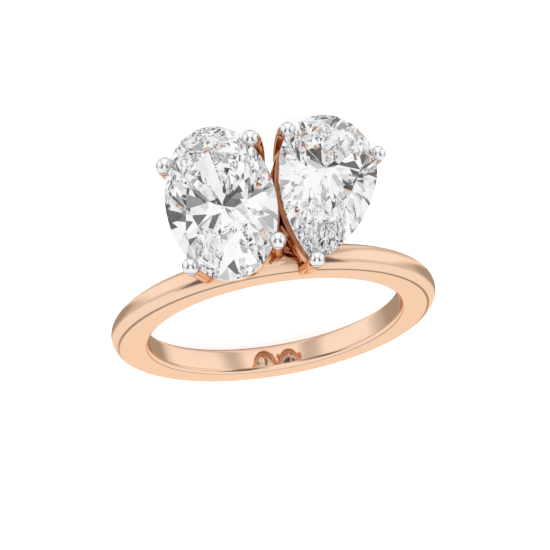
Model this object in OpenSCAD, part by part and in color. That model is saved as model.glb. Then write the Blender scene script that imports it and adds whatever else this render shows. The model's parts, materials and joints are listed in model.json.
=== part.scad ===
// Ring with an oval stone and a pear stone side by side, lying on its side.
// Lengths are in millimetres, +Z is up and the head points to -Y.

/* [Shank] */
// Inner diameter of the shank
finger_d = 17.3; // [17:0.1:17.6]
// Width of the shank along the finger
shank_w = 1.86; // [1.8:0.02:2]
// Height of the flat side faces
side_h = 1.62; // [1.56:0.02:1.66]
// Height of the rounded back above the side faces
dome_h = 0.83; // [0.75:0.02:0.87]
// Rounding of the two inner edges
edge_r = 0.34; // [0.26:0.02:0.4]

/* [Oval stone] */
// Length of the oval stone
oval_l = 10.67; // [10.4:0.01:10.8]
// Width of the oval stone
oval_w = 7.14; // [7:0.01:7.2]
// Angle of the oval setting from the middle of the head
oval_lean = -14.54; // [-16:0.01:-14.5]
// Turn of the oval stone on its own axis
oval_turn = 4.99; // [3:0.01:6]
// Distance of the oval stone behind the middle of the shank
oval_back = 3.15; // [3:0.01:3.3]

/* [Pear stone] */
// Length of the pear stone from its widest line to its point
pear_point_l = 7.01; // [6.9:0.01:7.1]
// Length of the round end from the widest line
pear_round_l = 3.53; // [3.4:0.01:3.6]
// Width of the pear stone
pear_w = 6.57; // [6.4:0.01:6.6]
// Angle of the pear setting from the middle of the head
pear_lean = 14.98; // [14.9:0.01:16]
// Turn of the pear stone on its own axis
pear_turn = -17.83; // [-18.5:0.01:-17]
// Distance of the pear stone behind the middle of the shank
pear_back = 4.78; // [4.7:0.01:4.9]

/* [Cut of the stones] */
// Height of the stones above the middle of the finger hole
stone_r = 14.2; // [14.1:0.01:14.5]
// Table size as a share of the stone
table_share = 0.58; // [0.54:0.01:0.62]
// Crown height as a share of the stone's width
crown_share = 0.15; // [0.13:0.005:0.17]
// Pavilion depth as a share of the stone's width
pavilion_share = 0.455; // [0.44:0.005:0.46]

/* [Settings] */
// Radius of the claws under the oval's ball tips
oval_claw_r = 0.48; // [0.44:0.01:0.5]
// Radius of the claws under the pear's ball tips
pear_claw_r = 0.45; // [0.42:0.01:0.46]
// Radius of the oval's ball tips
oval_tip_r = 0.56; // [0.54:0.01:0.58]
// Radius of the pear's ball tips
pear_tip_r = 0.51; // [0.49:0.01:0.53]
// Height of the rails
rail_h = 0.6; // [0.5:0.02:0.7]
// Thickness of the rails
rail_t = 0.65; // [0.55:0.01:0.7]

/* [Hidden] */
// Finger hole and shank radii
finger_r = finger_d / 2;
side_r = finger_r + side_h;
half_w = shank_w / 2;
dome_r = (half_w * half_w + dome_h * dome_h) / (2 * dome_h);
edge_cut_r = edge_r + 0.02;
curve_fn = 96;
span = 40;
tip_fn = 48;

// Stones: girdle half thickness at the facet corners, points between two corners
girdle_half = 0.11;
girdle_split = 4;
facet_count = 16;
star_drop = 0.32;
lower_reach = 0.8;

// Ball tips: height above the girdle, gap to the metal, seat as a scale of the stone
tip_rise = 0.15;
tip_gap = 0.02;
seat_scale = 1.012;

// Rails: height above the middle of the finger hole and outer half sizes
gallery_r = 12.4;
base_r = 10.8;
oval_gallery = [3.4, 4.7];
oval_base = [3.15, 4.4];
pear_gallery = [3.12, 3.35, 6.3];
pear_base = [2.85, 3.05, 5.6];
pear_inner_share = 1.4;
base_front = -0.2;

// Bridge between the two settings: corner nearest the finger hole, then size
bridge_from = [-0.7, 0.4, 10.5];
bridge_size = [1.8, 2.0, 0.6];

// Claws: middle of the tip, knee and foot in the frame of their own setting
tip_r_at = stone_r + tip_rise;
knee_r = gallery_r;
back_knee_r = 13;
foot_r = 10.3;
foot_share = 0.88;
knee_share = 0.97;
oval_claws = [
  [[2.89, 3.56, tip_r_at], [3.0, 3.56, back_knee_r], [2.6, 3.2, base_r]],
  [[-2.89, 3.56, tip_r_at], [-3.0, 3.56, back_knee_r], [-2.6, 3.2, base_r]],
  [[-2.89, -3.56, tip_r_at], [-2.72, -3.36, knee_r], [-2.5, -3.12, foot_r]],
  [[2.89, -3.66, tip_r_at], [2.58, -3.26, knee_r], [2.25, -2.88, foot_r]]
];
pear_claws = [
  [[-3.06, 1.58, tip_r_at], [-3.0, 1.58, back_knee_r], [-2.45, 1.25, base_r]],
  [[3.1, 1.66, tip_r_at], [3.0, 1.58, back_knee_r], [2.45, 1.25, base_r]],
  [[0.09, -6.81, tip_r_at], [0.28, -6.4, knee_r], [0.5, -5.3, 9.3]]
];

// Pose of the ring as it rests on the back of its shank and of its head
rest_lean = -18.198;
rest_roll = 2.434;
rest_shift = [0, 2.973, 4.137];

// Lays a flat ring on the floor in its resting pose
module resting() {
  translate(rest_shift)
    rotate([rest_lean, rest_roll, 0])
      children();
}

// Turns the head's frame (Y along the finger, Z out of the head) into the flat ring's
module head_frame() {
  rotate([-90, 0, 180])
    children();
}

module oval_frame() {
  head_frame()
    translate([0, oval_back, 0])
      rotate([0, oval_lean, 0])
        rotate([0, 0, oval_turn])
          children();
}

module pear_frame() {
  head_frame()
    translate([0, pear_back, 0])
      rotate([0, pear_lean, 0])
        rotate([0, 0, pear_turn])
          children();
}

// Half section of the shank: flat inside with rounded edges, flat sides, arched back
module shank_section() {
  difference() {
    union() {
      translate([finger_r, -half_w])
        square([side_h, shank_w]);
      intersection() {
        translate([side_r + dome_h - dome_r, 0])
          circle(r = dome_r, $fn = curve_fn);
        translate([side_r - dome_h, -half_w])
          square([2 * dome_h + dome_h, shank_w]);
      }
    }
    for (side = [-1, 1])
      translate([finger_r + edge_r, side * (half_w - edge_r)])
        difference() {
          translate([-2 * edge_r, side > 0 ? 0 : -2 * edge_r])
            square([2 * edge_r, 2 * edge_r]);
          circle(r = edge_cut_r, $fn = curve_fn);
        }
  }
}

module shank() {
  rotate_extrude($fn = curve_fn)
    shank_section();
}

// Outlines as functions of s, which runs from 0 to 16 around the stone
function oval_at(s, a, b) = [a * cos(22.5 * s), b * sin(22.5 * s)];
function oval_normal(s, a, b) = [cos(22.5 * s) / a, sin(22.5 * s) / b];

function arc_shift(w, l) = (l * l - w * w) / (2 * w);
function arc_span(w, l) = atan2(l, arc_shift(w, l));
function flank_at(q, w, l) =
  let (k = arc_shift(w, l), f = q * arc_span(w, l))
  [(w + k) * cos(f) - k, -(w + k) * sin(f)];
function pear_at(s, w, top, l) =
  s <= 8 ? [w * cos(22.5 * s), top * sin(22.5 * s)]
  : s <= 12 ? [-flank_at((s - 8) / 4, w, l)[0], flank_at((s - 8) / 4, w, l)[1]]
  : flank_at((16 - s) / 4, w, l);
function pear_normal(s, w, top, l) =
  s <= 8 ? [cos(22.5 * s) / w, sin(22.5 * s) / top]
  : s < 12 ? [-cos((s - 8) / 4 * arc_span(w, l)), -sin((s - 8) / 4 * arc_span(w, l))]
  : s == 12 ? [0, -1]
  : [cos((16 - s) / 4 * arc_span(w, l)), -sin((16 - s) / 4 * arc_span(w, l))];

// Plane [nx, ny, nz, d] through a point with two directions, and where three planes meet
function plane_of(p, u, v) = let (n = cross(u, v)) [n[0], n[1], n[2], n * p];
function plane_z(pl, x, y) = (pl[3] - pl[0] * x - pl[1] * y) / pl[2];
function meet_at(p, q, z) =
  let (
    dp = p[3] - p[2] * z,
    dq = q[3] - q[2] * z,
    det = p[0] * q[1] - p[1] * q[0]
  )
  [(dp * q[1] - dq * p[1]) / det, (p[0] * dq - q[0] * dp) / det, z];
function main_plane(g, n, apex) = plane_of(g, [-n[1], n[0], 0], apex - g);

// Brilliant cut stone from its outline: eight main facets, with girdle corners in between
module brilliant(outline, normals, width) {
  crown_z = girdle_half + crown_share * width;
  culet_z = -girdle_half - pavilion_share * width;
  star_z = crown_z - star_drop * crown_share * width;
  lower_z = -girdle_half - lower_reach * pavilion_share * width;
  rim_count = len(outline);
  step = girdle_split;
  mains = [for (i = [0:7]) 2 * step * i];
  top_rim = [for (p = outline) [p[0], p[1], girdle_half]];
  low_rim = [for (p = outline) [p[0], p[1], -girdle_half]];
  table = [for (m = mains) [table_share * outline[m][0], table_share * outline[m][1], crown_z]];
  culet = [0, 0, culet_z];
  bezels = [for (i = [0:7]) main_plane(top_rim[mains[i]], normals[i], table[i])];
  keels = [for (i = [0:7]) main_plane(low_rim[mains[i]], normals[i], culet)];
  stars = [for (i = [0:7]) meet_at(bezels[i], bezels[(i + 1) % 8], star_z)];
  lowers = [for (i = [0:7]) meet_at(keels[i], keels[(i + 1) % 8], lower_z)];
  // facet planes between each star or lower corner and two girdle corners
  uppers = [
    for (k = [0:facet_count - 1])
      let (c = stars[floor(k / 2)], g = top_rim[k * step], h = top_rim[((k + 1) * step) % rim_count])
        plane_of(c, g - c, h - c)
  ];
  unders = [
    for (k = [0:facet_count - 1])
      let (c = lowers[floor(k / 2)], g = low_rim[k * step], h = low_rim[((k + 1) * step) % rim_count])
        plane_of(c, g - c, h - c)
  ];
  top_edge = [
    for (j = [0:rim_count - 1])
      j % step == 0 ? top_rim[j]
      : [outline[j][0], outline[j][1], plane_z(uppers[floor(j / step)], outline[j][0], outline[j][1])]
  ];
  low_edge = [
    for (j = [0:rim_count - 1])
      j % step == 0 ? low_rim[j]
      : [outline[j][0], outline[j][1], plane_z(unders[floor(j / step)], outline[j][0], outline[j][1])]
  ];
  star_at = 8;
  top_at = 16;
  low_at = top_at + rim_count;
  lower_at = low_at + rim_count;
  culet_at = lower_at + 8;
  polyhedron(
    points = concat(table, stars, top_edge, low_edge, lowers, [culet]),
    faces = concat(
      [[for (i = [7:-1:0]) i]],
      [for (i = [0:7]) [i, (i + 1) % 8, star_at + i]],
      [for (i = [0:7]) [i, star_at + i, top_at + mains[i], star_at + (i + 7) % 8]],
      [
        for (k = [0:facet_count - 1])
          concat([star_at + floor(k / 2)], [for (j = [step:-1:0]) top_at + (k * step + j) % rim_count])
      ],
      [
        for (j = [0:rim_count - 1])
          let (n = (j + 1) % rim_count)
            [top_at + j, top_at + n, low_at + n, low_at + j]
      ],
      [
        for (k = [0:facet_count - 1])
          concat([lower_at + floor(k / 2)], [for (j = [0:step]) low_at + (k * step + j) % rim_count])
      ],
      [for (i = [0:7]) [culet_at, lower_at + (i + 7) % 8, low_at + mains[i], lower_at + i]]
    ),
    convexity = 2
  );
}

module oval_cut() {
  a = oval_w / 2;
  b = oval_l / 2;
  translate([0, 0, stone_r])
    brilliant(
      [for (j = [0:facet_count * girdle_split - 1]) oval_at(j / girdle_split, a, b)],
      [for (i = [0:7]) oval_normal(2 * i, a, b)],
      oval_w
    );
}

module pear_cut() {
  w = pear_w / 2;
  translate([0, 0, stone_r])
    brilliant(
      [for (j = [0:facet_count * girdle_split - 1]) pear_at(j / girdle_split, w, pear_round_l, pear_point_l)],
      [for (i = [0:7]) pear_normal(2 * i, w, pear_round_l, pear_point_l)],
      pear_w
    );
}

// Room for a stone in the metal around it
module seat() {
  translate([0, 0, stone_r])
    scale([seat_scale, seat_scale, seat_scale])
      translate([0, 0, -stone_r])
        children();
}

// Round rod that tapers from one point to another
module rod(from, to, r_from, r_to) {
  rise = to - from;
  reach = norm(rise);
  translate(from)
    rotate([0, acos(rise[2] / reach), atan2(rise[1], rise[0])])
      cylinder(h = reach, r1 = r_from, r2 = r_to, $fn = tip_fn);
}

// Claw from its rounded foot over its knee up to the middle of its ball tip
module claw(spec, r) {
  rod(spec[2], spec[1], foot_share * r, knee_share * r);
  rod(spec[1], spec[0], knee_share * r, r);
  translate(spec[1])
    sphere(r = r, $fn = tip_fn);
  translate(spec[2])
    sphere(r = knee_share * r, $fn = tip_fn);
}

module tip_ball(spec, r) {
  translate(spec[0])
    sphere(r = r, $fn = tip_fn);
}

// Ball tip with the seam of its sphere turned away from the stone
module tip(spec, r) {
  difference() {
    translate(spec[0])
      rotate([0, 0, atan2(spec[0][1], spec[0][0])])
        sphere(r = r, $fn = tip_fn);
    seat()
      children();
  }
}

// Rails of the settings: flat bands that follow the outline of the stone
module oval_rail(size, at) {
  count = facet_count * girdle_split / 2;
  translate([0, 0, at - rail_h / 2])
    linear_extrude(height = rail_h)
      difference() {
        polygon([for (j = [0:count - 1]) oval_at(j / 2, size[0], size[1])]);
        polygon([for (j = [0:count - 1]) oval_at(j / 2, size[0] - rail_t, size[1] - rail_t)]);
      }
}

module pear_rail(size, at) {
  count = facet_count * girdle_split / 2;
  translate([0, 0, at - rail_h / 2])
    linear_extrude(height = rail_h)
      difference() {
        polygon([for (j = [0:count - 1]) pear_at(j / 2, size[0], size[1], size[2])]);
        polygon([
          for (j = [0:count - 1])
            pear_at(j / 2, size[0] - rail_t, size[1] - rail_t, size[2] - pear_inner_share * rail_t)
        ]);
      }
}

// Keeps what lies behind the front limit of the base rails
module behind_front() {
  intersection() {
    children();
    head_frame()
      translate([-span / 2, base_front, 0])
        cube([span, span, span]);
  }
}

module shank_and_settings() {
  difference() {
    union() {
      shank();
      oval_frame() {
        oval_rail(oval_gallery, gallery_r);
        for (spec = oval_claws)
          claw(spec, oval_claw_r);
      }
      pear_frame() {
        pear_rail(pear_gallery, gallery_r);
        for (spec = pear_claws)
          claw(spec, pear_claw_r);
      }
      behind_front()
        oval_frame()
          oval_rail(oval_base, base_r);
      behind_front()
        pear_frame()
          pear_rail(pear_base, base_r);
      head_frame()
        translate(bridge_from)
          cube(bridge_size);
    }
    oval_frame() {
      seat()
        oval_cut();
      for (spec = oval_claws)
        tip_ball(spec, oval_tip_r + tip_gap);
    }
    pear_frame() {
      seat()
        pear_cut();
      for (spec = pear_claws)
        tip_ball(spec, pear_tip_r + tip_gap);
    }
  }
}

module oval_tip(i) {
  oval_frame()
    tip(oval_claws[i], oval_tip_r)
      oval_cut();
}

module pear_tip(i) {
  pear_frame()
    tip(pear_claws[i], pear_tip_r)
      pear_cut();
}

color([0.86, 0.62, 0.48])
    resting()
      shank_and_settings();

color([0.92, 0.95, 0.98])  // oval_stone
    resting()
      oval_frame()
        oval_cut();

color([0.92, 0.95, 0.98])  // pear_stone
    resting()
      pear_frame()
        pear_cut();

color([0.85, 0.86, 0.88])  // oval_tip_1
    resting()
      oval_tip(0);

color([0.85, 0.86, 0.88])  // oval_tip_2
    resting()
      oval_tip(1);

color([0.85, 0.86, 0.88])  // oval_tip_3
    resting()
      oval_tip(2);

color([0.85, 0.86, 0.88])  // oval_tip_4
    resting()
      oval_tip(3);

color([0.85, 0.86, 0.88])  // pear_tip_1
    resting()
      pear_tip(0);

color([0.85, 0.86, 0.88])  // pear_tip_2
    resting()
      pear_tip(1);

color([0.85, 0.86, 0.88])  // pear_tip_3
    resting()
      pear_tip(2);
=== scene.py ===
"""A toi et moi ring of rose gold, with an oval and a pear brilliant, lying on its side."""

import json

import bmesh
import bpy
import numpy as np
from mathutils import Matrix


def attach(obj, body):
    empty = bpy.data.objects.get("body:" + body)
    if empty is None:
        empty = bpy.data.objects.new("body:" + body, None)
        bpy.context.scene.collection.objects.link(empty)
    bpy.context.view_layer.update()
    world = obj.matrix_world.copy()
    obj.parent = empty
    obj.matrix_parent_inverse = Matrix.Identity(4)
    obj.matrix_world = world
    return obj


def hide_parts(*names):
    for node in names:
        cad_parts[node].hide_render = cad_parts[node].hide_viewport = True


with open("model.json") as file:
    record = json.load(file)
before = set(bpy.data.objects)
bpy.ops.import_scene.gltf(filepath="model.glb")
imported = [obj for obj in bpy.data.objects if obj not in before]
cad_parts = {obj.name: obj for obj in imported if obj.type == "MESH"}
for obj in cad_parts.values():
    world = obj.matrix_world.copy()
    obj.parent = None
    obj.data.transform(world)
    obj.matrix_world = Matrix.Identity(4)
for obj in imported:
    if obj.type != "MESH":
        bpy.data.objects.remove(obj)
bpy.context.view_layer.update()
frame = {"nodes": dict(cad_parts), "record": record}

# Shank
# The plain hoop that goes round the finger, cast in rose gold: flat inside with rounded
# edges, flat at its sides and domed outside. It is polished to a mirror all over.

MM = 0.001
FINGER_R = 8.65
SHANK_HALF_W = 0.93
SIDE_H = 1.62
DOME_H = 0.83
INNER_EDGE_R = 0.35
SHANK_RINGS = 288
DOME_POINTS = 64
EDGE_POINTS = 20
SIDE_POINTS = 8
SHANK_CREASE = 5

ROSE_GOLD = (0.93, 0.655, 0.48, 1)
# Painted shade: the dark colour the rose gold takes in tight places, standing in for the shade
# there
ROSE_GOLD_PAINTED_SHADE = (0.3, 0.08, 0.03, 1)
ROSE_GOLD_EDGE = (1, 0.82, 0.66, 1)
# Reach and samples of the painted shade in tight places
NEAR = 2.0 * MM
NEAR_SAMPLES = 8
HAZE_SCALE = 900
HAZE_DETAIL = 4
HAIR_SCALE = 9000
HAIR_DETAIL = 2
HAIR_DRAWN = (1, 0.08, 1)
HAIR_DEPTH = 0.002 * MM

hole = frame["record"]["mounts"][0]
hole_axis = np.array(hole["axis"]) / np.linalg.norm(hole["axis"])
roll = np.arctan2(hole_axis[0], hole_axis[2])
ACROSS = np.array([-np.cos(roll), 0, np.sin(roll)])
BACK = -hole_axis
OUT = np.cross(ACROSS, BACK)
HEAD_AXES = np.stack([ACROSS, BACK, OUT])


def laid(points):
    """Puts points of the head's frame in their place on the floor, in metres.

    The head's frame is in mm, from the middle of the finger hole: x across the head,
    y along the finger to the back, z out of the head. Place = hole's middle + x times
    the across direction + y times the back direction + z times the out direction.
    """
    return np.array(hole["pos_m"]) + MM * (np.asarray(points, float) @ HEAD_AXES)


def arc(centre, radius, start, end, count):
    """Points of a circle: centre + radius (cos a, sin a), a from start to end in degrees."""
    angle = np.radians(np.linspace(start, end, count))
    return np.stack([centre[0] + radius * np.cos(angle), centre[1] + radius * np.sin(angle)], -1)


def skin(rings, loop):
    """Vertices and faces of a closed skin over rings, an array (ring, point, xyz).

    Point j of ring i is joined to point j + 1 and to ring i + 1. A loop's last ring joins
    its first. An open row of rings ends in a fan to the middle of each end ring.
    """
    count, around = rings.shape[:2]
    index = np.arange(count * around).reshape(count, around)
    low = index if loop else index[:-1]
    high = np.roll(index, -1, 0) if loop else index[1:]
    quads = np.stack([low, np.roll(low, -1, 1), np.roll(high, -1, 1), high], -1).reshape(-1, 4)
    vertices = rings.reshape(-1, 3)
    faces = quads.tolist()
    if not loop:
        total = count * around
        vertices = np.vstack([vertices, rings[0].mean(0), rings[-1].mean(0)])
        for ring, middle in ((index[0], total), (index[-1], total + 1)):
            faces += np.stack([np.roll(ring, -1), ring, np.full(around, middle)], -1).tolist()
    return vertices, faces


def solid(name, vertices, faces, crease):
    """A mesh object with its faces outwards, sharp where they meet above crease degrees."""
    mesh = bpy.data.meshes.new(name)
    mesh.from_pydata(vertices.tolist(), [], faces)
    shaped = bmesh.new()
    shaped.from_mesh(mesh)
    bmesh.ops.recalc_face_normals(shaped, faces=shaped.faces)
    if shaped.calc_volume(signed=True) < 0:
        bmesh.ops.reverse_faces(shaped, faces=shaped.faces)
    shaped.to_mesh(mesh)
    shaped.free()
    mesh.shade_smooth()
    mesh.set_sharp_from_angle(angle=np.radians(crease))
    piece = bpy.data.objects.new(name, mesh)
    bpy.context.scene.collection.objects.link(piece)
    return piece


def shank_section():
    """Closed outline of the hoop, (radius, y): edge, side, dome, side, edge, inner wall.

    The dome is an arc of radius (w^2 + h^2) / 2h, for its half width w and its height h.
    """
    edge_at = FINGER_R + INNER_EDGE_R
    edge_y = SHANK_HALF_W - INNER_EDGE_R
    side_r = FINGER_R + SIDE_H
    dome_r = (SHANK_HALF_W**2 + DOME_H**2) / (2 * DOME_H)
    dome_at = side_r + DOME_H - dome_r
    dome_end = np.degrees(np.arcsin(SHANK_HALF_W / dome_r))
    side = np.linspace(edge_at, side_r, SIDE_POINTS)[1:-1]
    return np.vstack([
        arc((edge_at, -edge_y), INNER_EDGE_R, 180, 270, EDGE_POINTS),
        np.stack([side, np.full_like(side, -SHANK_HALF_W)], -1),
        arc((dome_at, 0), dome_r, -dome_end, dome_end, DOME_POINTS),
        np.stack([side[::-1], np.full_like(side, SHANK_HALF_W)], -1),
        arc((edge_at, edge_y), INNER_EDGE_R, 90, 180, EDGE_POINTS),
    ])


def fed(node, links, *values):
    """A node with its first inputs set, each value a socket to link or a constant."""
    for value, socket in zip(values, node.inputs):
        if isinstance(value, bpy.types.NodeSocket):
            links.new(value, socket)
        else:
            socket.default_value = value
    return node


def maths(nodes, links, operation, *values):
    """The outcome of a math node, each value a socket or a number."""
    node = nodes.new("ShaderNodeMath")
    node.operation = operation
    return fed(node, links, *values).outputs[0]


def polish():
    """Node group of a hand polished metal: faint hairlines and a little haze in the mirror.

    Hairlines are noise drawn out along one direction, taken as a bump. Roughness = base +
    spread times the haze, a cloudy noise.
    """
    group = bpy.data.node_groups.new("polish", "ShaderNodeTree")
    for title in ("Roughness", "Spread", "Bump"):
        group.interface.new_socket(title, in_out="INPUT", socket_type="NodeSocketFloat")
    group.interface.new_socket("Roughness", in_out="OUTPUT", socket_type="NodeSocketFloat")
    group.interface.new_socket("Normal", in_out="OUTPUT", socket_type="NodeSocketVector")
    nodes, links = group.nodes, group.links
    given, made = nodes.new("NodeGroupInput"), nodes.new("NodeGroupOutput")
    place = nodes.new("ShaderNodeTexCoord")
    haze = nodes.new("ShaderNodeTexNoise")
    haze.inputs["Scale"].default_value = HAZE_SCALE
    haze.inputs["Detail"].default_value = HAZE_DETAIL
    drawn = nodes.new("ShaderNodeMapping")
    drawn.inputs["Scale"].default_value = HAIR_DRAWN
    hairs = nodes.new("ShaderNodeTexNoise")
    hairs.inputs["Scale"].default_value = HAIR_SCALE
    hairs.inputs["Detail"].default_value = HAIR_DETAIL
    bump = nodes.new("ShaderNodeBump")
    bump.inputs["Distance"].default_value = HAIR_DEPTH
    links.new(place.outputs["Object"], haze.inputs["Vector"])
    links.new(place.outputs["Object"], drawn.inputs["Vector"])
    links.new(drawn.outputs["Vector"], hairs.inputs["Vector"])
    links.new(hairs.outputs["Fac"], bump.inputs["Height"])
    links.new(given.outputs["Bump"], bump.inputs["Strength"])
    rough = maths(
        nodes, links, "MULTIPLY_ADD",
        haze.outputs["Fac"], given.outputs["Spread"], given.outputs["Roughness"],
    )
    links.new(rough, made.inputs["Roughness"])
    links.new(bump.outputs["Normal"], made.inputs["Normal"])
    return group


POLISH = polish()


def metal(name, colour, painted_shade, edge, roughness, spread, bump):
    """A polished metal with some wear, its colour going to a painted shade in tight places.

    The share of the painted shade colour is 1 less the open part of the half sphere over the
    point, counted within NEAR, so it is painted shade where the metal is hemmed in. The edge
    colour tints what mirrors at a grazing angle.
    """
    material = bpy.data.materials.new(name)
    material.use_nodes = True
    nodes, links = material.node_tree.nodes, material.node_tree.links
    shader = nodes["Principled BSDF"]
    shader.inputs["Metallic"].default_value = 1
    shader.inputs["Specular Tint"].default_value = edge
    openness = nodes.new("ShaderNodeAmbientOcclusion")
    openness.inputs["Distance"].default_value = NEAR
    openness.samples = NEAR_SAMPLES
    # Painted shade: the base colour goes to a dark colour where the point is hemmed in, where
    # shade falls
    shade = nodes.new("ShaderNodeMix")
    shade.data_type = "RGBA"
    shade.inputs["A"].default_value = painted_shade
    shade.inputs["B"].default_value = colour
    links.new(openness.outputs["AO"], shade.inputs["Factor"])
    links.new(shade.outputs["Result"], shader.inputs["Base Color"])
    worn = nodes.new("ShaderNodeGroup")
    worn.node_tree = POLISH
    worn.inputs["Roughness"].default_value = roughness
    worn.inputs["Spread"].default_value = spread
    worn.inputs["Bump"].default_value = bump
    links.new(worn.outputs["Roughness"], shader.inputs["Roughness"])
    links.new(worn.outputs["Normal"], shader.inputs["Normal"])
    return material


def dressed(piece, material, slot, *nodes):
    """Gives a piece its material and its part in the frame."""
    piece.data.materials.clear()
    piece.data.materials.append(material)
    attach(piece, "root")
    if nodes:
        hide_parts(*nodes)


rose_gold = metal(
    "rose_gold_polished", ROSE_GOLD, ROSE_GOLD_PAINTED_SHADE, ROSE_GOLD_EDGE,
    roughness=0.02, spread=0.05, bump=0.08,
)

# The section carried round the finger: (radius sin a, y, radius cos a)
section = shank_section()
turn = np.radians(np.linspace(0, 360, SHANK_RINGS, endpoint=False))[:, None]
hoop = np.stack([
    section[:, 0] * np.sin(turn),
    section[:, 1] * np.ones_like(turn),
    section[:, 0] * np.cos(turn),
], -1)
shank = solid("shank", *skin(laid(hoop), True), SHANK_CREASE)
dressed(shank, rose_gold, "rose_gold", "shank_and_settings")

# Oval setting
# Four round claws stand on a base rail that ends in the shank, and a gallery rail
# ties them together under the stone. All of it is wire, soldered into one piece.

SETTING_GOLD = (0.93, 0.52, 0.3, 1)
STONE_R = 14.2
TIP_RISE = 0.15
TIP_AT = STONE_R + TIP_RISE
GALLERY_R = 12.4
BASE_R = 10.8
BACK_KNEE_R = 13.0
FOOT_R = 10.3
RAIL_H = 0.6
RAIL_T = 0.65
RAIL_EDGE_R = 0.1
BAR_EDGE_POINTS = 6
BASE_FRONT = -0.2
OVAL_LEAN = -14.54
OVAL_TURN = 4.99
OVAL_BACK = 3.15
OVAL_GALLERY = (3.4, 4.7)
OVAL_BASE = (3.15, 4.4)
OUTLINE_POINTS = 192
OVAL_CLAW_R = 0.48
FOOT_SHARE = 0.9
LIP_MORE = 0.05
LIP_AT = 0.6
LIP_SPREAD = 0.1
CLAW_END = 0.45
CLAW_RINGS = 96
CLAW_CROWDING = 1.3
CLAW_POINTS = 40
SEAT_SCALE = 1.012
SAME_POINT = 1e-4 * MM
SETTING_CREASE = 30
# The first and last angle of a foot's half ball, in degrees, and its rings
FOOT_ROUNDING = (10, 85, 8)
# Each claw's tip, knee and foot in the setting's own frame, in mm
OVAL_CLAWS = {
    "oval_tip_1": ((2.89, 3.56, TIP_AT), (3.0, 3.6, BACK_KNEE_R), (2.6, 3.2, BASE_R)),
    "oval_tip_2": ((-2.89, 3.56, TIP_AT), (-3.0, 3.6, BACK_KNEE_R), (-2.6, 3.2, BASE_R)),
    "oval_tip_3": ((-2.89, -3.56, TIP_AT), (-2.72, -3.36, GALLERY_R), (-2.5, -3.12, FOOT_R)),
    "oval_tip_4": ((2.89, -3.66, TIP_AT), (2.58, -3.26, GALLERY_R), (2.25, -2.88, FOOT_R)),
}


def turned(degrees, first, second):
    """Matrix that turns axis first towards axis second."""
    angle = np.radians(degrees)
    matrix = np.eye(3)
    matrix[first, first] = matrix[second, second] = np.cos(angle)
    matrix[second, first] = np.sin(angle)
    matrix[first, second] = -np.sin(angle)
    return matrix


def seated(points, lean, turn, back):
    """Takes points of a setting's own frame to the head's frame.

    They turn about the setting's axis, lean about the finger's axis and move back along it.
    """
    lean_and_turn = turned(lean, 2, 0) @ turned(turn, 0, 1)
    return np.asarray(points, float) @ lean_and_turn.T + (0, back, 0)


def by_oval(points):
    """Takes points of the oval setting's frame to the head's frame."""
    return seated(points, OVAL_LEAN, OVAL_TURN, OVAL_BACK)


def oval(half):
    """Outline of an oval: (a cos t, b sin t), once round."""
    angle = np.radians(np.linspace(0, 360, OUTLINE_POINTS, endpoint=False))
    return np.stack([half[0] * np.cos(angle), half[1] * np.sin(angle)], -1)


def bar_section(width, height, corner):
    """Closed outline of a bar about its middle: a rectangle with quarter circle corners."""
    across, up = width / 2 - corner, height / 2 - corner
    return np.vstack([
        arc((across, up), corner, 0, 90, BAR_EDGE_POINTS),
        arc((-across, up), corner, 90, 180, BAR_EDGE_POINTS),
        arc((-across, -up), corner, 180, 270, BAR_EDGE_POINTS),
        arc((across, -up), corner, 270, 360, BAR_EDGE_POINTS),
    ])


def rail(outer, inner, at):
    """Rings of a flat rail between two outlines, (ring, point, xyz).

    A point lies a share of the way from the outer to the inner outline, the share being
    x / width + 1/2 of the bar's section, and at the section's own height above the middle.
    """
    section = bar_section(RAIL_T, RAIL_H, RAIL_EDGE_R)
    share = (section[:, 0] / RAIL_T + 0.5)[None, :, None]
    flat = outer[:, None, :] * (1 - share) + inner[:, None, :] * share
    height = np.broadcast_to(at + section[:, 1], flat.shape[:2])
    return np.concatenate([flat, height[..., None]], -1)


def back_part(rings, placed):
    """The run of a rail's rings whose middles lie behind the front limit once placed."""
    behind = placed(rings).mean(1)[:, 1] > BASE_FRONT
    start = int(np.argmax(behind & ~np.roll(behind, 1)))
    rings, behind = np.roll(rings, -start, 0), np.roll(behind, -start)
    return rings if behind.all() else rings[: int(np.argmin(behind))]


def wire(line, along, wide, count):
    """Rings of a round wire, (ring, point, xyz): point + radius (cos a side + sin a other).

    Side is square to the wire's direction and to y, and other to that direction and side.
    """
    side = np.cross(along, (0, 1, 0))
    side /= np.linalg.norm(side, axis=1, keepdims=True)
    other = np.cross(along, side)
    angle = np.radians(np.linspace(0, 360, count, endpoint=False))[None, :, None]
    spread = np.cos(angle) * side[:, None] + np.sin(angle) * other[:, None]
    return line[:, None] + wide[:, :, None] * spread


def bend_of(tip, knee, foot):
    """The bend, 2 knee - (tip + foot) / 2, that takes a claw's line through its knee."""
    return 2 * knee - (tip + foot) / 2


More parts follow.
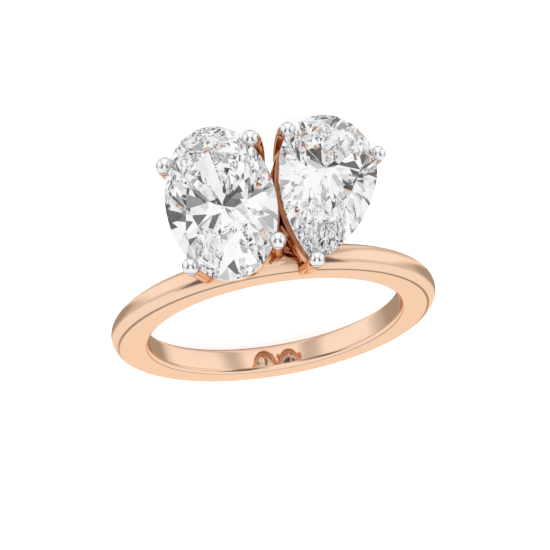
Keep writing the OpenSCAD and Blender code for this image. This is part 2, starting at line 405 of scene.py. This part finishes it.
def claw(tip, knee, foot, radius):
    """Rings of a claw along the curve through its tip, knee and foot, (ring, point, xyz).

    The line is (1-t)^2 tip + 2 t (1-t) bend + t^2 foot, its rings crowded to the tip. The
    radius narrows to the foot, which ends in a half ball, and swells at s mm from the tip
    by LIP_MORE exp(-((s - LIP_AT) / LIP_SPREAD)^2), the lip under the ball.
    """
    tip, knee, foot = np.array([tip, knee, foot], float)
    bend = bend_of(tip, knee, foot)
    t = np.linspace(0, 1, CLAW_RINGS)[:, None] ** CLAW_CROWDING
    line = (1 - t) ** 2 * tip + 2 * t * (1 - t) * bend + t**2 * foot
    along = 2 * (1 - t) * (bend - tip) + 2 * t * (foot - bend)
    along /= np.linalg.norm(along, axis=1, keepdims=True)
    from_tip = np.linalg.norm(line - tip, axis=1, keepdims=True)
    lip = LIP_MORE * np.exp(-(((from_tip - LIP_AT) / LIP_SPREAD) ** 2))
    wide = radius * (1 + (FOOT_SHARE - 1) * t) + lip
    under = from_tip[:, 0] > CLAW_END
    line, along, wide = line[under], along[under], wide[under]
    round_off = np.radians(np.linspace(*FOOT_ROUNDING))[:, None]
    line = np.vstack([line, line[-1] + wide[-1] * np.sin(round_off) * along[-1]])
    wide = np.vstack([wide, wide[-1] * np.cos(round_off)])
    along = np.vstack([along, np.repeat(along[-1:], len(round_off), 0)])
    return wire(line, along, wide, CLAW_POINTS)


def seat(node, placed):
    """A tool in the shape of the stone, grown a little about the middle of its girdle."""
    tool = bpy.data.objects.new(f"{node}_seat", frame["nodes"][node].data.copy())
    bpy.context.scene.collection.objects.link(tool)
    middle = laid(placed((0, 0, STONE_R)))
    grown = Matrix.Translation(middle) @ Matrix.Scale(SEAT_SCALE, 4) @ Matrix.Translation(-middle)
    shaped = bmesh.new()
    shaped.from_mesh(tool.data)
    bmesh.ops.transform(shaped, matrix=frame["nodes"][node].matrix_world, verts=shaped.verts)
    bmesh.ops.remove_doubles(shaped, verts=shaped.verts, dist=SAME_POINT)
    bmesh.ops.transform(shaped, matrix=grown, verts=shaped.verts)
    shaped.to_mesh(tool.data)
    shaped.free()
    return tool


def fitted(piece, tool, operation):
    """Adds a tool's solid to a piece's, or takes it away."""
    step = piece.modifiers.new("fitted", "BOOLEAN")
    step.operation = operation
    step.solver = "EXACT"
    step.object = tool


def settled(piece, name):
    """Applies a piece's modifiers, marks its sharp edges and names it."""
    evaluated = piece.evaluated_get(bpy.context.evaluated_depsgraph_get())
    mesh = bpy.data.meshes.new_from_object(evaluated)
    piece.modifiers.clear()
    piece.data = mesh
    mesh.shade_smooth()
    mesh.set_sharp_from_angle(angle=np.radians(SETTING_CREASE))
    piece.name = mesh.name = name


def soldered(name, skins, stone):
    """One solid from several skins, with the seat of its stone cut out.

    It isn't seen through the stones, so that they stay bright.
    """
    first, *others = [
        solid(f"{name}_{number}", *one, SETTING_CREASE) for number, one in enumerate(skins)
    ]
    for other in others:
        fitted(first, other, "UNION")
    fitted(first, stone, "DIFFERENCE")
    settled(first, name)
    for other in others:
        bpy.data.objects.remove(other)
    first.visible_transmission = False
    return first


setting_gold = metal(
    "rose_gold_setting", SETTING_GOLD, ROSE_GOLD_PAINTED_SHADE, ROSE_GOLD_EDGE,
    roughness=0.1, spread=0.05, bump=0.08,
)

oval_gallery = rail(oval(OVAL_GALLERY), oval(np.subtract(OVAL_GALLERY, RAIL_T)), GALLERY_R)
oval_base = rail(oval(OVAL_BASE), oval(np.subtract(OVAL_BASE, RAIL_T)), BASE_R)
skins = [
    skin(laid(by_oval(oval_gallery)), True),
    skin(laid(by_oval(back_part(oval_base, by_oval))), False),
]
for spec in OVAL_CLAWS.values():
    skins.append(skin(laid(by_oval(claw(*spec, OVAL_CLAW_R))), False))
oval_seat = seat("oval_stone", by_oval)
oval_setting = soldered("oval_setting", skins, oval_seat)
dressed(oval_setting, setting_gold, "rose_gold")

# Pear setting
# Two claws at the round end and one at the point, which runs down the front of the
# shank. A gallery rail and a base rail follow the pear's outline, and a short flat bar
# ties the base rails of the two settings.

PEAR_LEAN = 14.98
PEAR_TURN = -17.83
PEAR_BACK = 4.78
PEAR_GALLERY = (3.12, 3.35, 6.3)
PEAR_BASE = (2.85, 3.05, 5.6)
PEAR_INNER = (RAIL_T, RAIL_T, 1.4 * RAIL_T)
PEAR_CLAW_R = 0.45
BRIDGE_FROM = (-0.7, 0.4, 10.5)
BRIDGE_SIZE = (1.8, 2.0, 0.6)
BRIDGE_EDGE_R = 0.08
BRIDGE_RINGS = 12
# Each claw's tip, knee and foot in the setting's own frame, in mm
PEAR_CLAWS = {
    "pear_tip_1": ((-3.06, 1.58, TIP_AT), (-3.02, 1.6, BACK_KNEE_R), (-2.45, 1.25, BASE_R)),
    "pear_tip_2": ((3.1, 1.66, TIP_AT), (3.02, 1.6, BACK_KNEE_R), (2.45, 1.25, BASE_R)),
    "pear_tip_3": ((0.09, -6.81, TIP_AT), (0.26, -6.45, GALLERY_R), (0.5, -5.3, 9.3)),
}


def by_pear(points):
    """Takes points of the pear setting's frame to the head's frame."""
    return seated(points, PEAR_LEAN, PEAR_TURN, PEAR_BACK)


def pear(size):
    """Outline of a pear, once round: a half ellipse, then two flanks that meet in the point.

    Each flank is an arc that leaves the ellipse straight down: its centre lies
    (l^2 - w^2) / 2w outside the middle, for half width w and point length l.
    """
    half_w, round_l, point_l = size
    outside = (point_l**2 - half_w**2) / (2 * half_w)
    flank_r = half_w + outside
    reach = np.arctan2(point_l, outside)
    angle = np.radians(np.linspace(0, 180, OUTLINE_POINTS // 2, endpoint=False))
    down = np.linspace(0, reach, OUTLINE_POINTS // 4, endpoint=False)
    up = np.linspace(reach, 0, OUTLINE_POINTS // 4, endpoint=False)
    return np.vstack([
        np.stack([half_w * np.cos(angle), round_l * np.sin(angle)], -1),
        np.stack([outside - flank_r * np.cos(down), -flank_r * np.sin(down)], -1),
        np.stack([flank_r * np.cos(up) - outside, -flank_r * np.sin(up)], -1),
    ])


def bridge():
    """Rings of the bar between the base rails, its section carried along x, (ring, point, xyz)."""
    section = bar_section(*BRIDGE_SIZE[1:], BRIDGE_EDGE_R) + np.array(BRIDGE_SIZE[1:]) / 2
    section = np.broadcast_to(section, (BRIDGE_RINGS, *section.shape))
    x = np.linspace(0, BRIDGE_SIZE[0], BRIDGE_RINGS)[:, None, None]
    x = np.broadcast_to(x, (*section.shape[:2], 1))
    return np.array(BRIDGE_FROM) + np.concatenate([x, section], -1)


pear_gallery = rail(pear(PEAR_GALLERY), pear(np.subtract(PEAR_GALLERY, PEAR_INNER)), GALLERY_R)
pear_base = rail(pear(PEAR_BASE), pear(np.subtract(PEAR_BASE, PEAR_INNER)), BASE_R)
skins = [
    skin(laid(by_pear(pear_gallery)), True),
    skin(laid(by_pear(back_part(pear_base, by_pear))), False),
]
for spec in PEAR_CLAWS.values():
    skins.append(skin(laid(by_pear(claw(*spec, PEAR_CLAW_R))), False))
skins.append(skin(laid(bridge()), False))
pear_seat = seat("pear_stone", by_pear)
pear_setting = soldered("pear_setting", skins, pear_seat)
dressed(pear_setting, setting_gold, "rose_gold")

# Stones
# An oval and a pear brilliant of clear diamond, each with a table, eight stars, eight
# mains and sixteen halves on the crown, and mains and halves below, all flat and sharp.

DIAMOND_IOR = 2.417
DIAMOND_CLEAR = (1, 1, 1, 1)
DIAMOND_CLOUD = (0.97, 0.975, 0.985, 1)
OUTER_GLOSS = (0.35, 0.35, 0.35, 1)
CLOUD_SCALE = 600
CLOUD_DETAIL = 3

diamond = bpy.data.materials.new("diamond_clear")
diamond.use_nodes = True
nodes, links = diamond.node_tree.nodes, diamond.node_tree.links
place = nodes.new("ShaderNodeTexCoord")
cloud = nodes.new("ShaderNodeTexNoise")
cloud.inputs["Scale"].default_value = CLOUD_SCALE
cloud.inputs["Detail"].default_value = CLOUD_DETAIL
tint = nodes.new("ShaderNodeMix")
tint.data_type = "RGBA"
tint.inputs["A"].default_value = DIAMOND_CLOUD
tint.inputs["B"].default_value = DIAMOND_CLEAR
gem = nodes["Principled BSDF"]
gem.inputs["Roughness"].default_value = 0
gem.inputs["Metallic"].default_value = 0
gem.inputs["IOR"].default_value = DIAMOND_IOR
gem.inputs["Transmission Weight"].default_value = 1
gem.inputs["Specular Tint"].default_value = OUTER_GLOSS
links.new(place.outputs["Object"], cloud.inputs["Vector"])
links.new(cloud.outputs["Fac"], tint.inputs["Factor"])
links.new(tint.outputs["Result"], gem.inputs["Base Color"])

for name in ("oval_stone", "pear_stone"):
    stone = frame["nodes"][name]
    stone.data.materials.clear()
    stone.data.materials.append(diamond)

# Ball tips
# Each claw ends in a ball of white gold, soldered into a rounded lip at the claw's end and
# pressed over the edge of the stone.

WHITE_GOLD = (0.88, 0.88, 0.89, 1)
# Painted shade: the dark colour the white gold takes in tight places, standing in for the shade
# there
WHITE_GOLD_PAINTED_SHADE = (0.5, 0.5, 0.52, 1)
WHITE_GOLD_EDGE = (0.75, 0.75, 0.77, 1)
OVAL_TIP_R = 0.56
PEAR_TIP_R = 0.51
BALL_POINTS = 64
BALL_POLE = 89


def ball_tip(tip, knee, foot, radius):
    """Rings of a ball turned about the end of its claw, (ring, point, xyz).

    The rings are square to the claw's own line where it ends, tip - bend, so the lowest of
    them are sunk in the claw's lip. Their radii and heights are those of a half circle.
    """
    tip, knee, foot = np.array([tip, knee, foot], float)
    up = tip - bend_of(tip, knee, foot)
    up /= np.linalg.norm(up)
    profile = arc((0, 0), radius, -BALL_POLE, BALL_POLE, BALL_POINTS)
    line = tip + profile[:, 1:] * up
    return wire(line, np.broadcast_to(up, line.shape), profile[:, :1], BALL_POINTS)


white_gold = metal(
    "white_gold_polished", WHITE_GOLD, WHITE_GOLD_PAINTED_SHADE, WHITE_GOLD_EDGE,
    roughness=0.02, spread=0.04, bump=0.06,
)

for claws, placed, ball_r, stone_seat in (
    (OVAL_CLAWS, by_oval, OVAL_TIP_R, oval_seat),
    (PEAR_CLAWS, by_pear, PEAR_TIP_R, pear_seat),
):
    for node, spec in claws.items():
        rings = laid(placed(ball_tip(*spec, ball_r)))
        ball = solid(f"{node}_ball", *skin(rings, False), SETTING_CREASE)
        fitted(ball, stone_seat, "DIFFERENCE")
        settled(ball, f"{node}_ball")
        dressed(ball, white_gold, "white_gold", node)
    bpy.data.objects.remove(stone_seat)

# Studio
# The ring lies on a plain pale floor in a white light tent. The camera has the angle of
# the photograph to the ring, which puts it above the floor on the head's side.

FLOOR_HALF = 1.5
FLOOR_WHITE = (0.7, 0.7, 0.7, 1)
FLOOR_ROUGHNESS = 0.6
FLOOR_GLOW = 0.8
SENSOR = 36.0
# The camera's angles in degrees, its place and aim in mm, its focal length in picture widths
CAMERA_EL = 20.087
CAMERA_AZ = -6.25
CAMERA_ROLL = 9.89
CAMERA_AWAY = 200.0
FOCAL_SHARE = 2953.6 / 550
AIM_ACROSS = -0.08
AIM_UP = 2.735
CLIP_START = 0.01

floor_mesh = bpy.data.meshes.new("floor")
corners = FLOOR_HALF * np.array([(-1, -1, 0), (1, -1, 0), (1, 1, 0), (-1, 1, 0)])
floor_mesh.from_pydata(corners.tolist(), [], [(0, 1, 2, 3)])
floor = bpy.data.objects.new("floor", floor_mesh)
bpy.context.scene.collection.objects.link(floor)
floor_paint = bpy.data.materials.new("floor_white")
floor_paint.use_nodes = True
paint = floor_paint.node_tree.nodes["Principled BSDF"]
paint.inputs["Base Color"].default_value = FLOOR_WHITE
paint.inputs["Roughness"].default_value = FLOOR_ROUGHNESS
paint.inputs["Emission Color"].default_value = (1, 1, 1, 1)
paint.inputs["Emission Strength"].default_value = FLOOR_GLOW
floor_mesh.materials.append(floor_paint)
floor.visible_glossy = False
floor.visible_transmission = False

el, az, tilt = np.radians([CAMERA_EL, CAMERA_AZ, CAMERA_ROLL])
towards = np.array([np.sin(az) * np.cos(el), -np.sin(el), np.cos(az) * np.cos(el)])
level_up = np.array([0, 1, 0]) - towards * towards[1]
level_up /= np.linalg.norm(level_up)
level_right = np.cross(-towards, level_up)
image_up = level_up * np.cos(tilt) + level_right * np.sin(tilt)
image_right = level_right * np.cos(tilt) - level_up * np.sin(tilt)
spot = CAMERA_AWAY * towards - AIM_ACROSS * image_right + AIM_UP * image_up
world_right, world_up, world_towards = np.stack([image_right, image_up, towards]) @ HEAD_AXES

camera_data = bpy.data.cameras.new("camera")
camera_data.sensor_width = SENSOR
camera_data.lens = SENSOR * FOCAL_SHARE
camera_data.clip_start = CLIP_START
camera = bpy.data.objects.new("camera", camera_data)
bpy.context.scene.collection.objects.link(camera)
pose = np.eye(4)
pose[:3, :3] = np.stack([world_right, world_up, world_towards], -1)
pose[:3, 3] = laid(spot)
camera.matrix_world = Matrix(pose.tolist())
bpy.context.scene.camera = camera

# Light tent
# White panels with gaps between them stand round the ring. Each is placed where a mirror
# ball would show it from the camera, from -1 to 1 across and up, and is laid over the one
# before it. The stones see the tent a little dimmer, with flags set before it.

TENT_LIGHT = 0.42
BLUNT = 6
BOUNCES = 32
# Centre, half size, turn in degrees, taper, softness of the edge, light
PANELS = {
    "seams": ((0, 0), (0.86, 0.86), 0, 0, 0.05, 0.66),
    "lower": ((0, -0.66), (1.2, 0.42), 0, 0, 0.25, 1.0),
    "behind": ((0.05, -0.8), (0.6, 0.045), 0, 0, 0.3, 0.4),
    "left": ((-0.6, 0.26), (0.22, 0.36), -15, 0, 0.3, 1.05),
    "right": ((0.6, 0.26), (0.22, 0.36), 15, 0, 0.3, 1.05),
    "top": ((0, 0.52), (0.32, 0.35), 0, 0.5, 0.25, 1.1),
    "dark left": ((-0.3, -0.08), (0.1, 0.24), 12, 0, 0.3, 0.2),
    "dark right": ((0.3, -0.1), (0.1, 0.22), -16, 0, 0.3, 0.2),
    "middle": ((0, -0.1), (0.12, 0.14), 0, 0, 0.12, 1.15),
}
STONE_SHARE = 0.9
STONE_FLAGS = {
    "camera": ((-0.05, -0.12), (0.17, 0.12), 0, 0, 0.1, 0.03),
    "low": ((-0.05, -0.45), (0.15, 0.08), 0, 0, 0.1, 0.3),
    "left flag": ((-0.3, -0.08), (0.1, 0.24), 12, 0, 0.2, 0.05),
    "right flag": ((0.3, -0.1), (0.1, 0.22), -16, 0, 0.2, 0.05),
    "upper flag": ((-0.3, 0.3), (0.08, 0.1), 12, 0, 0.1, 0.12),
}


def vectors(nodes, links, operation, *values):
    """The outcome of a vector math node, each value a socket or a vector."""
    node = nodes.new("ShaderNodeVectorMath")
    node.operation = operation
    return fed(node, links, *values).outputs["Value" if operation == "DOT_PRODUCT" else "Vector"]


def softbox():
    """Node group of one lit panel of the tent, as a mirror ball shows it.

    With p the ball point less the panel's centre, turned into the panel's axes and
    divided by its half size, and x divided by 1 + taper y, the panel is what lies within
    (x^BLUNT + y^BLUNT)^(1 / BLUNT) = 1, and its edge fades over soft to either side.
    """
    group = bpy.data.node_groups.new("softbox", "ShaderNodeTree")
    for title in ("Ball", "Centre", "Half size"):
        group.interface.new_socket(title, in_out="INPUT", socket_type="NodeSocketVector")
    for title in ("Turn", "Taper", "Soft", "Light", "Before"):
        group.interface.new_socket(title, in_out="INPUT", socket_type="NodeSocketFloat")
    group.interface.new_socket("After", in_out="OUTPUT", socket_type="NodeSocketFloat")
    nodes, links = group.nodes, group.links
    given, made = nodes.new("NodeGroupInput"), nodes.new("NodeGroupOutput")
    moved = vectors(nodes, links, "SUBTRACT", given.outputs["Ball"], given.outputs["Centre"])
    spun = nodes.new("ShaderNodeVectorRotate")
    spun.rotation_type = "Z_AXIS"
    links.new(moved, spun.inputs["Vector"])
    links.new(given.outputs["Turn"], spun.inputs["Angle"])
    sized = vectors(nodes, links, "DIVIDE", spun.outputs[0], given.outputs["Half size"])
    parts = nodes.new("ShaderNodeSeparateXYZ")
    links.new(sized, parts.inputs[0])
    across, upward = parts.outputs["X"], parts.outputs["Y"]
    widening = maths(nodes, links, "MULTIPLY_ADD", upward, given.outputs["Taper"], 1)
    narrowed = maths(nodes, links, "DIVIDE", across, widening)
    sides = [maths(nodes, links, "ABSOLUTE", side) for side in (narrowed, upward)]
    powers = [maths(nodes, links, "POWER", side, BLUNT) for side in sides]
    reach = maths(nodes, links, "POWER", maths(nodes, links, "ADD", *powers), 1 / BLUNT)
    mask = nodes.new("ShaderNodeMapRange")
    mask.interpolation_type = "SMOOTHSTEP"
    links.new(reach, mask.inputs["Value"])
    links.new(maths(nodes, links, "SUBTRACT", 1, given.outputs["Soft"]), mask.inputs["From Min"])
    links.new(maths(nodes, links, "ADD", 1, given.outputs["Soft"]), mask.inputs["From Max"])
    links.new(given.outputs["Light"], mask.inputs["To Min"])
    links.new(given.outputs["Before"], mask.inputs["To Max"])
    links.new(mask.outputs[0], made.inputs["After"])
    return group


SOFTBOX = softbox()


def lit(nodes, links, ball, panels, light):
    """The light after the panels, each laid over what was there before it."""
    for centre, half_size, turn, taper, soft, strength in panels.values():
        panel = nodes.new("ShaderNodeGroup")
        panel.node_tree = SOFTBOX
        panel.inputs["Centre"].default_value = (*centre, 0)
        panel.inputs["Half size"].default_value = (*half_size, 1)
        panel.inputs["Turn"].default_value = np.radians(turn)
        panel.inputs["Taper"].default_value = taper
        panel.inputs["Soft"].default_value = soft
        panel.inputs["Light"].default_value = strength
        links.new(ball, panel.inputs["Ball"])
        links.new(light, panel.inputs["Before"])
        light = panel.outputs["After"]
    return light


tent = bpy.data.worlds.new("tent")
tent.use_nodes = True
nodes, links = tent.node_tree.nodes, tent.node_tree.links
look = nodes.new("ShaderNodeTexCoord")
halfway = vectors(nodes, links, "ADD", look.outputs["Generated"], world_towards)
normal = vectors(nodes, links, "NORMALIZE", halfway)
ball = nodes.new("ShaderNodeCombineXYZ")
links.new(vectors(nodes, links, "DOT_PRODUCT", normal, world_right), ball.inputs["X"])
links.new(vectors(nodes, links, "DOT_PRODUCT", normal, world_up), ball.inputs["Y"])
bare = nodes.new("ShaderNodeValue")
bare.outputs[0].default_value = TENT_LIGHT
metal_light = lit(nodes, links, ball.outputs[0], PANELS, bare.outputs[0])
flagged = lit(nodes, links, ball.outputs[0], STONE_FLAGS, metal_light)
stone_light = maths(nodes, links, "MULTIPLY", flagged, STONE_SHARE)
path = nodes.new("ShaderNodeLightPath")
choice = nodes.new("ShaderNodeMapRange")
links.new(path.outputs["Is Transmission Ray"], choice.inputs["Value"])
links.new(metal_light, choice.inputs["To Min"])
links.new(stone_light, choice.inputs["To Max"])
nodes["Background"].inputs["Color"].default_value = (1, 1, 1, 1)
links.new(choice.outputs[0], nodes["Background"].inputs["Strength"])
bpy.context.scene.world = tent

scene = bpy.context.scene
scene.view_settings.view_transform = "Standard"
scene.cycles.use_denoising = True
scene.cycles.max_bounces = BOUNCES
scene.cycles.transmission_bounces = BOUNCES
scene.cycles.glossy_bounces = BOUNCES
